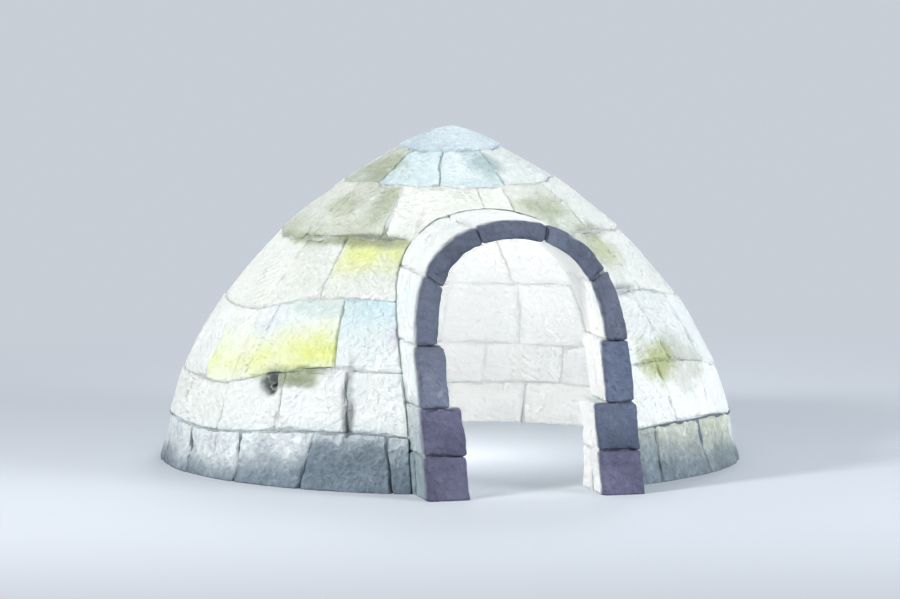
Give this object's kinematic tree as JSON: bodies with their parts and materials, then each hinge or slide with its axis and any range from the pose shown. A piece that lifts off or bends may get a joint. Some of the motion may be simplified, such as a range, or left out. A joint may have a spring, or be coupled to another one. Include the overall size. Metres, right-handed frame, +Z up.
{
  "type": "igloo",
  "caption": "Hollow pointed dome of snow blocks in climbing courses closed by a king block, with a tall arched doorway in a thick leaning portal ring.",
  "frame": {"origin": "middle of the footprint's box, on the ground that the foot of the wall and the portal stand on", "axes": "+Z up; the doorway faces -Y, and +X is to the right of someone who faces the doorway from outside"},
  "size_m": [6.3998, 6.75, 3.62],
  "materials": {
    "lit_snow": "matte",
    "foot_snow": "matte",
    "portal_snow": "matte"
  },
  "bodies": {
    "root": {"foot_course_front_left": "foot_snow", "foot_course_front_right": "foot_snow", "foot_course_side_left": "foot_snow", "foot_course_side_right": "foot_snow", "foot_course_back_left": "foot_snow", "foot_course_back_right": "foot_snow", "second_course_front_left": "lit_snow", "second_course_front_right": "lit_snow", "second_course_side_left": "lit_snow", "second_course_side_right": "lit_snow", "second_course_back_left": "lit_snow", "second_course_back_right": "lit_snow", "third_course_front_left": "lit_snow", "third_course_front_right": "lit_snow", "third_course_side_left": "lit_snow", "third_course_side_right": "lit_snow", "third_course_back_left": "lit_snow", "third_course_back_right": "lit_snow", "fourth_course_front_left": "lit_snow", "fourth_course_front_right": "lit_snow", "fourth_course_side_left": "lit_snow", "fourth_course_side_right": "lit_snow", "fourth_course_back_left": "lit_snow", "fourth_course_back_right": "lit_snow", "fifth_course_front_left": "lit_snow", "fifth_course_front_right": "lit_snow", "fifth_course_back_left": "lit_snow", "fifth_course_back_right": "lit_snow", "sixth_course_front": "lit_snow", "sixth_course_back_left": "lit_snow", "sixth_course_back_right": "lit_snow", "king_block": "lit_snow", "portal_foot_left": "portal_snow", "portal_foot_right": "portal_snow", "portal_jamb_left": "portal_snow", "portal_jamb_right": "portal_snow", "portal_haunch_left": "portal_snow", "portal_haunch_right": "portal_snow", "portal_shoulder_left": "portal_snow", "portal_shoulder_right": "portal_snow", "portal_crown": "portal_snow"}
  },
  "joints": []
}
